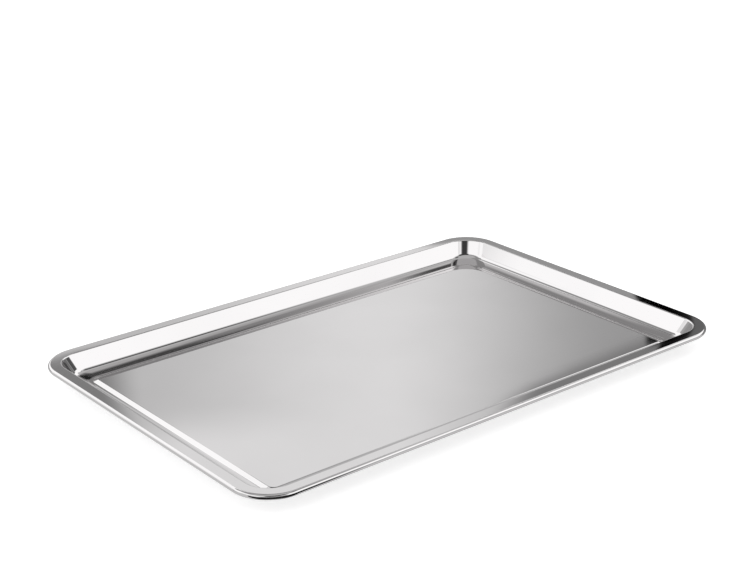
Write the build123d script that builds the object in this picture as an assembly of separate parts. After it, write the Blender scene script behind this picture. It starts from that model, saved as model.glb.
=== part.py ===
from build123d import *
import os
from math import hypot, radians, tan

# A cookie sheet: one pan pressed from sheet steel, with its edge curled round a stiffening wire.
#
# Millimetres. The origin is on the floor under the middle of the pan, its length lies along X and its width
# along Y. A profile is drawn as insets, measured inwards from the outer edge of the curl, and as depths,
# measured down from the top of the rim. A bend radius is the one on the inside of the bend: the other side of
# the sheet turns with the sheet's thickness more.

# Overall plan
length = 400.0
width = 265.0
corner_radius = 27.3

# Sheet, wire and curl. The curl turns outwards and under from the rim, and stops this far round. It hides its
# bore and the wire all round, so these two are drawn with flat sides.
sheet = 0.6
wire_radius = 1.2
wire_clearance = 0.1
wire_joint_gap = 0.5
wire_side_count = 12
curl_turn = 290.0
bore_side_count = 16

# Rim and wall. The rim is flat from the curl to the sharp corner that its bend rounds.
rim_width = 7.6
rim_bend_radius = 0.6
wall_depth = 12.1
wall_lean = 24.0
foot_bend_radius = 5.0
foot_corner_radius = 16.5

# The ledge that slopes down from the foot of the wall to the groove that the pan stands on
ledge_run = 9.6
ledge_drop = 1.5
groove_bend_radius = 12.0
groove_corner_radius = 9.0
groove_width = 2.4

# The panel that rises inside the groove
step_run = 3.1
step_bend_radius = 4.0
step_corner_radius = 7.0
panel_rise = 0.9
panel_bend_radius = 3.4
panel_corner_radius = 4.5

# How far an edge may lie from a loop and still count as part of it
loop_reach = 0.05

quarter_turn = 90
curl_bore = wire_radius + wire_clearance
curl_radius = curl_bore + sheet
height = wall_depth + ledge_drop + sheet


def upper_loops():
    """Give the corners of the sheet's upper side from the rim to the panel: inset, depth, plan radius."""
    rim_inset = curl_radius + rim_width
    foot_inset = rim_inset + wall_depth * tan(radians(wall_lean))
    groove_inset = foot_inset + ledge_run
    step_inset = groove_inset + groove_width
    groove_depth = wall_depth + ledge_drop
    return [
        (rim_inset, 0, corner_radius - rim_inset),
        (foot_inset, wall_depth, foot_corner_radius),
        (groove_inset, groove_depth, groove_corner_radius),
        (step_inset, groove_depth, step_corner_radius),
        (step_inset + step_run, groove_depth - panel_rise, panel_corner_radius),
    ]


def normal(start, end):
    """Give the direction through the sheet, from its upper side, of a straight stretch of the profile."""
    run = end[0] - start[0]
    drop = end[1] - start[1]
    return -drop / hypot(run, drop), run / hypot(run, drop)


def under_loops(upper):
    """Give the corners of the underside, one sheet's thickness below those of the upper side."""
    rim_start = (curl_radius, 0)
    panel_middle = (length / 2, upper[-1][1])
    route = [rim_start, *upper, panel_middle]
    under = []
    for before, corner, after in zip(route, upper, route[2:]):
        out_a, down_a = normal(before, corner)
        out_b, down_b = normal(corner, after)
        mitre = sheet / (1 + out_a * out_b + down_a * down_b)
        shift = mitre * (out_a + out_b)
        under.append((corner[0] + shift, corner[1] + mitre * (down_a + down_b), corner[2] - shift))
    return under


def loop_face(loop):
    """Make the flat face inside one loop."""
    inset, depth, radius = loop
    outline = RectangleRounded(length - 2 * inset, width - 2 * inset, radius)
    return Pos(0, 0, height - depth) * outline


def bend(body, loop, radius):
    """Round the edges of one loop."""
    inset, depth, _ = loop
    level = height - depth

    def lies_on_loop(edge):
        start = edge @ 0
        gap_x = abs(length / 2 - inset - abs(start.X))
        gap_y = abs(width / 2 - inset - abs(start.Y))
        return min(gap_x, gap_y) < loop_reach

    edges = body.edges().filter_by_position(Axis.Z, level - loop_reach, level + loop_reach)
    return fillet(edges.filter_by(lies_on_loop), radius)


def basin(loops, bend_radii):
    """Make the space inside one side of the sheet: wall, ledge and groove, less the raised panel."""
    rim, foot, groove, step, panel = loops
    space = loft([loop_face(rim), loop_face(foot)], ruled=True)
    space += loft([loop_face(foot), loop_face(groove)], ruled=True)
    space -= loft([loop_face(step), loop_face(panel)], ruled=True)
    for loop, radius in zip(loops[1:], bend_radii):
        space = bend(space, loop, radius)
    return space


def carry_round(section):
    """Carry a section round the pan. It stands in XZ, with X measured from the axis of a corner."""
    half_x = length / 2 - corner_radius
    half_y = width / 2 - corner_radius
    corner = revolve(section, Axis.Z, quarter_turn)
    ring = Part()
    for turn in range(4):
        reach, half_side = (half_x, half_y) if turn % 2 == 0 else (half_y, half_x)
        side = extrude(section, 2 * half_side, dir=(0, 1, 0))
        ring += Rot(0, 0, quarter_turn * turn) * Pos(reach, -half_side, 0) * side
        ring += Rot(0, 0, quarter_turn * turn) * Pos(reach, half_side, 0) * corner
    return ring


def curl_centre():
    """Give the centre of the curl's section, from the axis of a corner and from the floor."""
    return corner_radius - curl_radius, height - curl_radius


def curl():
    """Make the open curl along the edge, from the outer end of the flat rim round and under it."""
    outside = CenterArc(curl_centre(), curl_radius, quarter_turn, -curl_turn)
    round_bore = CenterArc(curl_centre(), curl_bore, quarter_turn, -curl_turn)
    inside = Polyline(*[round_bore @ (side / bore_side_count) for side in range(bore_side_count + 1)])
    ends = [Line(outside @ 0, inside @ 0), Line(outside @ 1, inside @ 1)]
    return carry_round(Plane.XZ * make_face([outside, inside, *ends]))


def pan():
    """Make the pressed pan: flat rim, leaning wall, ledge, groove, raised panel and curled edge."""
    upper = upper_loops()
    under = under_loops(upper)
    hollow_bends = [foot_bend_radius, groove_bend_radius, step_bend_radius]
    rim_outline = (curl_radius, sheet, corner_radius - curl_radius)
    body = extrude(loop_face(rim_outline), sheet)
    body += basin(under, [radius + sheet for radius in hollow_bends] + [panel_bend_radius])
    body = bend(body, under[0], rim_bend_radius)
    body -= basin(upper, hollow_bends + [panel_bend_radius + sheet])
    body = bend(body, upper[0], rim_bend_radius + sheet)
    return body + curl()


def rim_wire():
    """Make the wire hoop inside the curl, with the small gap where its ends meet on a long side."""
    section = Pos(*curl_centre()) * RegularPolygon(wire_radius, wire_side_count)
    hoop = carry_round(Plane.XZ * section)
    joint = Box(wire_joint_gap, 2 * curl_bore, 2 * curl_bore)
    return hoop - Pos(0, width / 2 - curl_radius, height - curl_radius) * joint


os.makedirs("parts", exist_ok=True)
export_step(pan(), "parts/pan.step")
export_step(rim_wire(), "parts/rim_wire.step")
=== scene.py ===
from collections import namedtuple
from math import atan2, cos, degrees, hypot, pi, radians, sin, tan

import bpy
from bpy.props import FloatProperty, FloatVectorProperty, IntProperty, PointerProperty
from mathutils import Matrix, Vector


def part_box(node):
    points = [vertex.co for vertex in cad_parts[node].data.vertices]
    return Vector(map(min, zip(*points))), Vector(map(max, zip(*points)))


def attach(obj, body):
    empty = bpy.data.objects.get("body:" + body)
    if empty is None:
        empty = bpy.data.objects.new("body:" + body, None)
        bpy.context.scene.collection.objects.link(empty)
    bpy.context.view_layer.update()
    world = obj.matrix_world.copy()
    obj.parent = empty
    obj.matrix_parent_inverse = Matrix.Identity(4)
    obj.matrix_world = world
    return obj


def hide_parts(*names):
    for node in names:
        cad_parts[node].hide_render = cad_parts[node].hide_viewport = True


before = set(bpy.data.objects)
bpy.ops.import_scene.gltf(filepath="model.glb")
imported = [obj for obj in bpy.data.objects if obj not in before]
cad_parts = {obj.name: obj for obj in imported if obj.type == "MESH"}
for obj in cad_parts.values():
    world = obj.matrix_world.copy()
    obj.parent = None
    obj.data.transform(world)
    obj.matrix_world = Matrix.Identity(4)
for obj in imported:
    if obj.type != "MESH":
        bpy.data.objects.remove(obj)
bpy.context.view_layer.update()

# The dress of a pressed steel cookie sheet. Metres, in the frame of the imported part: the pan stands on the
# floor with its length along X and its width along Y. A place on the profile is an inset from the outer edge
# of the curl and a depth below the top of the rim.

bl_info = {
    "name": "Cookie sheet",
    "version": (1, 0, 0),
    "blender": (4, 5, 0),
    "location": "View3D > Sidebar > Cookie sheet",
    "description": "Models a pressed steel cookie sheet with a curled rim, and the studio it stands in",
    "category": "Object",
}

PAN_LOW, PAN_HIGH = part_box("pan")

# Only the sheet's raw edge, at the end of the curl, has corners as sharp as this
CRISP_ANGLE = radians(40)

# How far the flats of the steel rise and fall
UNEVENNESS = 0.00005

# The camera's sensor, in millimetres
SENSOR_WIDTH = 36


def length_property(name, description, default):
    """A size in metres."""
    return FloatProperty(name=name, description=description, default=default, unit="LENGTH", precision=5)


def angle_property(name, description, default):
    """An angle, given here in degrees and kept in radians."""
    return FloatProperty(name=name, description=description, default=radians(default), subtype="ANGLE")


class PanShape(bpy.types.PropertyGroup):
    """Sizes of the pressed pan."""

    length: length_property("Length", "Outer length of the curled edge", PAN_HIGH[0] - PAN_LOW[0])
    width: length_property("Width", "Outer width of the curled edge", PAN_HIGH[1] - PAN_LOW[1])
    height: length_property("Height", "From the floor to the top of the rim", PAN_HIGH[2] - PAN_LOW[2])
    corner_radius: length_property("Corner radius", "Outer radius of the corners, seen from above", 0.0273)
    sheet: length_property("Sheet", "Thickness of the steel", 0.0006)
    curl_radius: length_property("Curl radius", "Outer radius of the rolled edge", 0.0019)
    curl_turn: angle_property("Curl turn", "How far round the edge is rolled", 290)
    rim_width: length_property("Rim width", "Flat rim, from the curl to the corner of the wall", 0.0076)
    rim_bend: length_property("Rim bend", "Radius of the bend between rim and wall", 0.0012)
    wall_depth: length_property("Wall depth", "Depth of the foot of the wall", 0.0121)
    wall_lean: angle_property("Wall lean", "How far the wall leans outwards", 24)
    foot_bend: length_property("Foot bend", "Radius of the bend at the foot of the wall", 0.005)
    foot_corner: length_property("Foot corner", "Corner radius at the foot of the wall", 0.0165)
    ledge_run: length_property("Ledge run", "Width of the sloping ledge", 0.0096)
    ledge_drop: length_property("Ledge drop", "How far the ledge slopes down", 0.0015)
    ledge_hollow: length_property("Ledge hollow", "How far the middle of the ledge sags", 0.00007)
    groove_bend: length_property("Groove bend", "Radius of the bend where the ledge meets the groove", 0.012)
    groove_corner: length_property("Groove corner", "Corner radius of the groove's outer edge", 0.009)
    groove_width: length_property("Groove width", "Width of the flat groove", 0.0024)
    step_run: length_property("Step run", "Width of the step up to the panel", 0.0031)
    step_bend: length_property("Step bend", "Radius of the two bends of the step", 0.004)
    step_corner: length_property("Step corner", "Corner radius at the foot of the step", 0.007)
    panel_rise: length_property("Panel rise", "How far the panel stands above the groove", 0.0009)
    panel_corner: length_property("Panel corner", "Corner radius of the panel", 0.0045)
    corner_steps: IntProperty(name="Corner steps", description="Edges round one corner", default=40, min=4)
    curl_steps: IntProperty(name="Curl steps", description="Edges round the curl", default=36, min=8)
    bend_steps: IntProperty(name="Bend steps", description="Edges across one bend", default=12, min=2)


class Finish(bpy.types.PropertyGroup):
    """Colours of the metal and the floor."""

    steel: FloatVectorProperty(
        name="Steel", description="Colour of the polished pan", subtype="COLOR", size=3,
        default=(0.811, 0.797, 0.80), min=0, max=1)
    wire: FloatVectorProperty(
        name="Wire", description="Colour of the wire in the curl", subtype="COLOR", size=3,
        default=(0.50, 0.50, 0.51), min=0, max=1)
    floor: FloatVectorProperty(
        name="Floor", description="Colour of the studio floor", subtype="COLOR", size=3,
        default=(0.93, 0.93, 0.93), min=0, max=1)


class Studio(bpy.types.PropertyGroup):
    """Floor, light and camera."""

    floor_size: length_property("Floor size", "Side of the square floor", 12.0)
    floor_glow: FloatProperty(
        name="Floor glow", description="Light from below the white floor", default=0.72, min=0)
    brightness: FloatProperty(
        name="Brightness", description="Strength of the studio light", default=1.12, min=0)
    camera_place: FloatVectorProperty(
        name="Camera place", description="Where the camera stands", subtype="TRANSLATION", size=3,
        default=(-0.64498, -0.78738, 0.45201))
    camera_bearing: angle_property("Camera bearing", "Turn of the camera about the vertical", -38.977)
    camera_dip: angle_property("Camera dip", "How far the camera looks down", 21.082)
    camera_roll: angle_property("Camera roll", "Turn of the camera about its own axis", -0.577)
    lens: FloatProperty(name="Lens", description="Focal length on a 36 mm sensor", default=76.78, min=1)


def select_nothing():
    """Leave every object unselected, the frame's nodes among them."""
    if bpy.context.object and bpy.context.object.mode != "OBJECT":
        bpy.ops.object.mode_set(mode="OBJECT")
    bpy.ops.object.select_all(action="DESELECT")


def arc(start, end, steps):
    """Angles from start to end, both included."""
    return [start + (end - start) * step / steps for step in range(steps + 1)]


def toward(start, end, reach):
    """The place a given reach from start on the way to end, plan radius included."""
    gap = hypot(end[0] - start[0], end[1] - start[1])
    return tuple(a + (b - a) * reach / gap for a, b in zip(start, end))


def rounded(before, corner, after, radius, steps):
    """Places along the bend that rounds one corner of the profile.

    Inset and depth follow the bend's circle. The plan radius blends from one stretch to the next.
    """
    first = atan2(corner[1] - before[1], corner[0] - before[0])
    last = atan2(after[1] - corner[1], after[0] - corner[0])
    reach = radius * tan(abs(last - first) / 2)
    enter = toward(corner, before, reach)
    leave = toward(corner, after, reach)
    side = 1 if last > first else -1
    middle = (enter[0] - side * radius * sin(first), enter[1] + side * radius * cos(first))
    places = []
    for step, angle in enumerate(arc(first, last, steps)):
        share = step / steps
        plan = (1 - share) ** 2 * enter[2] + 2 * share * (1 - share) * corner[2] + share ** 2 * leave[2]
        places.append((middle[0] + side * radius * sin(angle), middle[1] - side * radius * cos(angle), plan))
    return places


def hollowed(start, end, depth, steps):
    """Places between the two ends of a stretch of the profile that sags in a shallow parabola."""
    places = []
    for share in arc(0, 1, steps)[1:-1]:
        inset, level, plan = (a + (b - a) * share for a, b in zip(start, end))
        places.append((inset, level + 4 * depth * share * (1 - share), plan))
    return places


def skin_loops(shape):
    """Loops of the pan's upper skin, from the end of the curl to the panel: inset, depth, plan radius."""
    rim_inset = shape.curl_radius + shape.rim_width
    foot_inset = rim_inset + shape.wall_depth * tan(shape.wall_lean)
    groove_inset = foot_inset + shape.ledge_run
    groove_depth = shape.wall_depth + shape.ledge_drop
    step_inset = groove_inset + shape.groove_width
    panel_inset = step_inset + shape.step_run
    panel_depth = groove_depth - shape.panel_rise
    # The last corner lies on the flat panel, and only gives the bend before it its direction
    corners = [
        (shape.curl_radius, 0, shape.corner_radius - shape.curl_radius),
        (rim_inset, 0, shape.corner_radius - rim_inset),
        (foot_inset, shape.wall_depth, shape.foot_corner),
        (groove_inset, groove_depth, shape.groove_corner),
        (step_inset, groove_depth, shape.step_corner),
        (panel_inset, panel_depth, shape.panel_corner),
        (panel_inset + shape.ledge_run, panel_depth, shape.panel_corner),
    ]
    bends = [shape.rim_bend, shape.foot_bend, shape.groove_bend, shape.step_bend, shape.step_bend]
    loops = []
    for angle in arc(pi / 2 - shape.curl_turn, pi / 2, shape.curl_steps):
        inset = shape.curl_radius * (1 - cos(angle))
        loops.append((inset, shape.curl_radius * (1 - sin(angle)), shape.corner_radius - inset))
    for before, corner, after, radius in zip(corners, corners[1:], corners[2:], bends):
        bend = rounded(before, corner, after, radius, shape.bend_steps)
        if corner[0] == groove_inset:
            loops += hollowed(loops[-1], bend[0], shape.ledge_hollow, shape.bend_steps)
        loops += bend
    return loops


def add_loop(shape, loop, level):
    """Add one rounded rectangle of edges at a level of the mesh in edit mode."""
    inset, _, radius = loop
    bpy.ops.mesh.select_all(action="DESELECT")
    bpy.ops.mesh.primitive_plane_add(size=1, location=(0, 0, level))
    bpy.ops.transform.resize(value=(shape.length - 2 * inset, shape.width - 2 * inset, 1))
    bpy.ops.mesh.bevel(offset_type="OFFSET", offset=radius, segments=shape.corner_steps, affect="VERTICES")


def skin_of_loops(shape, loops):
    """Join the loops in their order and close the last one with the panel.

    They are stacked a wide step apart while they are joined, because loops in one plane would cross.
    """
    stack_step = shape.width
    bpy.ops.mesh.primitive_plane_add(size=1, location=(0, 0, 0))
    skin = bpy.context.object
    bpy.ops.object.mode_set(mode="EDIT")
    bpy.ops.mesh.delete(type="VERT")
    for index, loop in enumerate(loops):
        add_loop(shape, loop, -index * stack_step)
        if loop is not loops[-1]:
            bpy.ops.mesh.delete(type="ONLY_FACE")
    bpy.ops.mesh.select_mode(type="EDGE")
    bpy.ops.mesh.select_all(action="SELECT")
    bpy.ops.mesh.bridge_edge_loops(type="SINGLE")
    bpy.ops.mesh.select_all(action="SELECT")
    bpy.ops.mesh.normals_make_consistent(inside=False)
    bpy.ops.object.mode_set(mode="OBJECT")
    for vertex in skin.data.vertices:
        vertex.co.z = shape.height - loops[round(-vertex.co.z / stack_step)][1]
    return skin


class COOKIESHEET_OT_pan(bpy.types.Operator):
    """Model the pressed pan with its curled edge, in place of its plain solid"""

    bl_idname = "cookiesheet.pan"
    bl_label = "Pan"

    def execute(self, context):
        shape = context.scene.pan_shape
        loops = skin_loops(shape)
        select_nothing()
        pan = skin_of_loops(shape, loops)
        pan.name = "pressed_pan"
        panel = max(pan.data.polygons, key=lambda face: face.area)
        if panel.normal.z < 0:
            pan.data.flip_normals()
        add_modifier(pan, "SOLIDIFY", thickness=shape.sheet, offset=-1, use_even_offset=True)
        bpy.ops.object.shade_smooth_by_angle(angle=CRISP_ANGLE)
        add_modifier(pan, "WEIGHTED_NORMAL", mode="FACE_AREA", weight=50, keep_sharp=True)
        pan.data.materials.append(polished_steel(context.scene.finish.steel))
        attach(pan, "root")
        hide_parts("pan")
        return {"FINISHED"}


def add_modifier(piece, kind, **settings):
    """Add a modifier to a piece and apply it."""
    modifier = piece.modifiers.new(kind.title(), kind)
    for name, value in settings.items():
        setattr(modifier, name, value)
    select_nothing()
    piece.select_set(True)
    bpy.context.view_layer.objects.active = piece
    bpy.ops.object.modifier_apply(modifier=modifier.name)


def maths(tree, operation, *values):
    """Add one Math node; each value is a number or a socket."""
    node = tree.nodes.new("ShaderNodeMath")
    node.operation = operation
    for socket, value in zip(node.inputs, values):
        if isinstance(value, (int, float)):
            socket.default_value = value
        else:
            tree.links.new(value, socket)
    return node.outputs["Value"]


def add_noise(tree, stretch, detail):
    """Add a noise that is finer by these factors along X, Y and Z, in waves to the metre."""
    place = tree.nodes.new("ShaderNodeTexCoord")
    mapping = tree.nodes.new("ShaderNodeMapping")
    mapping.inputs["Scale"].default_value = stretch
    noise = tree.nodes.new("ShaderNodeTexNoise")
    noise.inputs["Scale"].default_value = 1
    noise.inputs["Detail"].default_value = detail
    tree.links.new(place.outputs["Object"], mapping.inputs["Vector"])
    tree.links.new(mapping.outputs["Vector"], noise.inputs["Vector"])
    return noise.outputs["Fac"]


def spread(tree, value, start, end, low, high):
    """Turn the values from start to end into those from low to high, and hold them there outside."""
    node = tree.nodes.new("ShaderNodeMapRange")
    tree.links.new(value, node.inputs["Value"])
    for name, number in zip(("From Min", "From Max", "To Min", "To Max"), (start, end, low, high)):
        node.inputs[name].default_value = number
    return node.outputs["Result"]


def add_tints(tree, shader, value, colour, shade):
    """Let the colour of the metal go a shade darker where the value is low."""
    mix = tree.nodes.new("ShaderNodeMix")
    mix.data_type = "RGBA"
    mix.inputs["A"].default_value = (*[part * shade for part in colour], 1)
    mix.inputs["B"].default_value = (*colour, 1)
    tree.links.new(value, mix.inputs["Factor"])
    tree.links.new(mix.outputs["Result"], shader.inputs["Base Color"])


def polished_steel(colour):
    """Bright polished sheet: faint rolling grain along its length, hairline scuffs, barely uneven flats."""
    material = bpy.data.materials.new("polished_steel")
    material.use_nodes = True
    tree = material.node_tree
    shader = tree.nodes["Principled BSDF"]
    shader.inputs["Metallic"].default_value = 1
    clouds = add_noise(tree, stretch=(14, 14, 14), detail=2)
    tints = spread(tree, clouds, start=0.35, end=0.6, low=0, high=1)
    add_tints(tree, shader, tints, colour, shade=0.975)
    rolling = add_noise(tree, stretch=(20, 900, 900), detail=3)
    grain = spread(tree, rolling, start=0.2, end=0.8, low=0.015, high=0.05)
    wiping = add_noise(tree, stretch=(70, 2600, 2600), detail=1)
    scuffs = spread(tree, wiping, start=0.72, end=0.8, low=0, high=0.09)
    tree.links.new(maths(tree, "ADD", grain, scuffs), shader.inputs["Roughness"])
    bump = tree.nodes.new("ShaderNodeBump")
    bump.inputs["Distance"].default_value = UNEVENNESS
    tree.links.new(add_noise(tree, stretch=(11, 11, 11), detail=1), bump.inputs["Height"])
    tree.links.new(bump.outputs["Normal"], shader.inputs["Normal"])
    return material


def drawn_wire(colour):
    """Dull drawn wire: mottled grey with fine uneven roughness."""
    material = bpy.data.materials.new("drawn_wire")
    material.use_nodes = True
    tree = material.node_tree
    shader = tree.nodes["Principled BSDF"]
    shader.inputs["Metallic"].default_value = 1
    mottle = add_noise(tree, stretch=(300, 300, 300), detail=3)
    tints = spread(tree, mottle, start=0.3, end=0.7, low=0, high=1)
    add_tints(tree, shader, tints, colour, shade=0.8)
    lines = add_noise(tree, stretch=(900, 900, 4000), detail=2)
    dullness = spread(tree, lines, start=0.3, end=0.7, low=0.28, high=0.45)
    tree.links.new(dullness, shader.inputs["Roughness"])
    return material


def floor_paper(colour, glow):
    """Matt white paper, lit a little from below."""
    material = bpy.data.materials.new("studio_floor")
    material.use_nodes = True
    tree = material.node_tree
    shader = tree.nodes["Principled BSDF"]
    shader.inputs["Base Color"].default_value = (*colour, 1)
    fibres = add_noise(tree, stretch=(40, 40, 40), detail=3)
    dullness = spread(tree, fibres, start=0.3, end=0.7, low=0.8, high=0.95)
    tree.links.new(dullness, shader.inputs["Roughness"])
    shader.inputs["Emission Color"].default_value = (*colour, 1)
    shader.inputs["Emission Strength"].default_value = glow
    return material


class COOKIESHEET_OT_wire(bpy.types.Operator):
    """Give the wire inside the curl its drawn steel finish"""

    bl_idname = "cookiesheet.wire"
    bl_label = "Rim wire"

    def execute(self, context):
        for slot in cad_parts["rim_wire"].material_slots:
            slot.material = drawn_wire(context.scene.finish.wire)
        return {"FINISHED"}


# The studio is painted on the sky by direction, in degrees: the bearing, from X towards Y, and the height
# above the horizon. In a step, one level of light goes over into another. The room is the sum of the first
# two steps, which go by height, and the backdrop that of the other two, which go by bearing.
Step = namedtuple("Step", "place softness before after")
TABLE_EDGE = Step(13.2, 0.8, before=0.57, after=1.06)
CEILING_EDGE = Step(52.3, 6.2, before=0, after=-0.78)
BACKDROP_MIDDLE = Step(46, 5, before=0.34, after=0.75)
BACKDROP_LEFT_END = Step(56, 5, before=0, after=-0.22)

# The cards and flags that hang round the pan, later ones in front of earlier ones. Their bearing and height
# are each a start, an end and the softness of both. A slanted card rises by so many degrees for each degree
# of bearing past SLANT_MIDDLE. The card without a light of its own is the backdrop of the steps above.
Card = namedtuple("Card", "name bearing height light rise", defaults=[0])
SLANT_MIDDLE = 45
STUDIO_CARDS = [
    Card("ceiling, zenith", (-200, 200, 1), (66, 95, 2), light=0.45),
    Card("ceiling, right part", (8, 60, 3), (39, 66, 2), light=0.47),
    Card("ceiling, dark beam", (-27, 4, 4), (60.5, 66, 1.5), light=0.07),
    Card("ceiling, dark end", (-7, 5, 3), (48.5, 53, 1), light=0.08),
    Card("ceiling, beam's foot", (-21.5, -3, 2), (57.8, 61.5, 0.8), light=0.02),
    Card("ceiling, left part", (62, 118, 4), (45.5, 62, 2), light=0.28),
    Card("ceiling, gap", (71, 84, 3), (44, 51.5, 1.5), light=0.6),
    Card("backdrop", (30, 66, 0.6), (-70, 30.5, 0.7), light=None),
    Card("backdrop, bright part", (50, 59.9, 1.5), (26, 30.5, 0.8), light=0.75),
    Card("backdrop, left edge", (61, 67, 0.9), (23.15, 29, 0.4), light=0.22),
    Card("backdrop, foot", (30, 49.5, 1), (-5, 21.0, 0.35), light=0.31, rise=-0.33),
    Card("backdrop, left foot", (49.5, 62, 1), (-5, 19, 1), light=0.37),
    Card("backdrop, right edge", (36, 45.6, 1.2), (24.8, 27.2, 0.3), light=0.2, rise=0.43),
    Card("gap above the backdrop", (45, 58.5, 1), (30.5, 53, 0.7), light=0.24),
    Card("left drape", (52.5, 61.5, 0.5), (31.5, 52, 1), light=0.02),
    Card("right drape", (40.5, 43.5, 0.5), (31, 35, 0.8), light=0.03),
    Card("flag, dark grey", (28, 39.6, 0.4), (-8, 26.5, 0.5), light=0.12),
    Card("flag, black", (38.9, 40.6, 0.12), (-8, 23.1, 0.12), light=0.0),
    Card("flag, wide foot", (38.9, 41.05, 0.12), (-8, 22, 0.15), light=0.0),
    Card("flag, upper end", (39.1, 40.05, 0.12), (23, 26.5, 0.2), light=0.0),
    Card("low card, right", (-2, 37, 3), (-8, 23.5, 1.5), light=0.16),
    Card("low card, left corner", (-24, -3, 2), (-8, 17.8, 1), light=0.08),
    Card("low card, left", (66, 112, 3), (-8, 12.5, 1), light=0.3),
    Card("side light's foot", (-76, -20, 6), (-6, 14.8, 2.4), light=0.4),
    Card("far side light's foot", (100, 150, 8), (-6, 11.8, 2.4), light=0.4),
    Card("table's dark side", (-200, -56.5, 1), (-70, 13.3, 1.7), light=0.015),
    Card("table's dark side, below", (-58, -44, 1), (-2000, -420, 5), light=0.015, rise=-4),
    Card("behind the camera", (-155, -85, 6), (14.5, 33.5, 2), light=0.27),
    Card("far side, left half", (158, 200, 8), (9, 26, 3), light=0.6),
    Card("far side, right half", (-200, -152, 8), (9, 26, 3), light=0.6),
    Card("far side, dim end", (118, 135.2, 1.2), (2, 24, 6), light=0.82),
    Card("high flag behind the camera", (-145, -75, 6), (43, 64, 1.5), light=0.02),
    Card("flag behind the camera", (-137.5, -98.5, 8), (35.5, 62, 2.5), light=0.045),
]


def soft_step(tree, value, place, softness, before=0, after=1):
    """Go smoothly from one level to another as the value passes a place."""
    node = tree.nodes.new("ShaderNodeMapRange")
    node.interpolation_type = "SMOOTHSTEP"
    tree.links.new(value, node.inputs["Value"])
    node.inputs["From Min"].default_value = place - softness
    node.inputs["From Max"].default_value = place + softness
    node.inputs["To Min"].default_value = before
    node.inputs["To Max"].default_value = after
    return node.outputs["Result"]


def card_share(tree, card, bearing, height):
    """How much of a card stands before each place of the sky, from 0 to 1."""
    if card.rise:
        past_middle = maths(tree, "SUBTRACT", bearing, SLANT_MIDDLE)
        height = maths(tree, "SUBTRACT", height, maths(tree, "MULTIPLY", past_middle, card.rise))
    share = 1.0
    for value, (start, end, softness) in ((bearing, card.bearing), (height, card.height)):
        begun = soft_step(tree, value, start, softness)
        unended = soft_step(tree, value, end, softness, before=1, after=0)
        share = maths(tree, "MULTIPLY", share, maths(tree, "MULTIPLY", begun, unended))
    return share


def studio_sky(strength):
    """Set the soft studio light: side lights, a grey ceiling and backdrop, and dark cards between them."""
    world = bpy.data.worlds.new("studio_sky")
    bpy.context.scene.world = world
    world.use_nodes = True
    tree = world.node_tree
    background = tree.nodes["Background"]
    background.inputs["Strength"].default_value = strength
    place = tree.nodes.new("ShaderNodeTexCoord")
    axes = tree.nodes.new("ShaderNodeSeparateXYZ")
    tree.links.new(place.outputs["Generated"], axes.inputs["Vector"])
    turn = maths(tree, "ARCTAN2", axes.outputs["Y"], axes.outputs["X"])
    bearing = maths(tree, "MULTIPLY", turn, degrees(1))
    height = maths(tree, "MULTIPLY", maths(tree, "ARCSINE", axes.outputs["Z"]), degrees(1))
    walls = soft_step(tree, height, *TABLE_EDGE)
    light = maths(tree, "ADD", walls, soft_step(tree, height, *CEILING_EDGE))
    middle = soft_step(tree, bearing, *BACKDROP_MIDDLE)
    backdrop = maths(tree, "ADD", middle, soft_step(tree, bearing, *BACKDROP_LEFT_END))
    for card in STUDIO_CARDS:
        mix = tree.nodes.new("ShaderNodeMix")
        mix.label = card.name
        tree.links.new(card_share(tree, card, bearing, height), mix.inputs["Factor"])
        tree.links.new(light, mix.inputs["A"])
        if card.light is None:
            tree.links.new(backdrop, mix.inputs["B"])
        else:
            mix.inputs["B"].default_value = card.light
        light = mix.outputs["Result"]
    tree.links.new(light, background.inputs["Color"])


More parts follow.
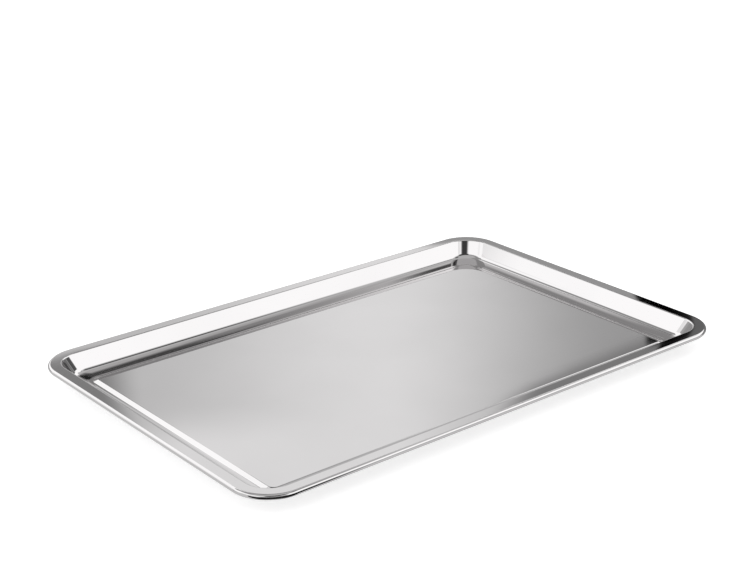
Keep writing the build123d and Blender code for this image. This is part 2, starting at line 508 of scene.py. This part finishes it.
class COOKIESHEET_OT_stage(bpy.types.Operator):
    """Lay the pale floor, hang the soft light and stand the camera where the photograph was taken"""

    bl_idname = "cookiesheet.stage"
    bl_label = "Studio"

    def execute(self, context):
        studio = context.scene.studio
        select_nothing()
        bpy.ops.mesh.primitive_plane_add(size=studio.floor_size, location=(0, 0, 0))
        floor = context.object
        floor.name = "studio_floor"
        floor.data.materials.append(floor_paper(context.scene.finish.floor, studio.floor_glow))
        floor.visible_glossy = False
        studio_sky(studio.brightness)
        context.scene.view_settings.view_transform = "Standard"
        bpy.ops.object.camera_add(location=studio.camera_place)
        camera = context.object
        camera.name = "photo_camera"
        turn = Matrix.Rotation(studio.camera_bearing, 3, "Z")
        dip = Matrix.Rotation(pi / 2 - studio.camera_dip, 3, "X")
        roll = Matrix.Rotation(studio.camera_roll, 3, "Z")
        camera.rotation_euler = (turn @ dip @ roll).to_euler()
        camera.data.sensor_fit = "HORIZONTAL"
        camera.data.sensor_width = SENSOR_WIDTH
        camera.data.lens = studio.lens
        context.scene.camera = camera
        return {"FINISHED"}


class COOKIESHEET_PT_tools(bpy.types.Panel):
    """Sizes, finishes and steps of the cookie sheet"""

    bl_label = "Cookie sheet"
    bl_space_type = "VIEW_3D"
    bl_region_type = "UI"
    bl_category = "Cookie sheet"

    def draw(self, context):
        for group in (context.scene.pan_shape, context.scene.finish, context.scene.studio):
            box = self.layout.box()
            for name in group.__annotations__:
                box.prop(group, name)
        for step in STEPS:
            self.layout.operator(step.bl_idname)


STEPS = (COOKIESHEET_OT_pan, COOKIESHEET_OT_wire, COOKIESHEET_OT_stage)
CLASSES = (PanShape, Finish, Studio, *STEPS, COOKIESHEET_PT_tools)


def register():
    """Add the classes, and their settings to the scene."""
    for item in CLASSES:
        bpy.utils.register_class(item)
    bpy.types.Scene.pan_shape = PointerProperty(type=PanShape)
    bpy.types.Scene.finish = PointerProperty(type=Finish)
    bpy.types.Scene.studio = PointerProperty(type=Studio)


def unregister():
    """Take the settings and the classes out again."""
    del bpy.types.Scene.studio
    del bpy.types.Scene.finish
    del bpy.types.Scene.pan_shape
    for item in reversed(CLASSES):
        bpy.utils.unregister_class(item)


def main():
    """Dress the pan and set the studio."""
    register()
    bpy.ops.cookiesheet.pan()
    bpy.ops.cookiesheet.wire()
    bpy.ops.cookiesheet.stage()


if __name__ == "__main__":
    main()
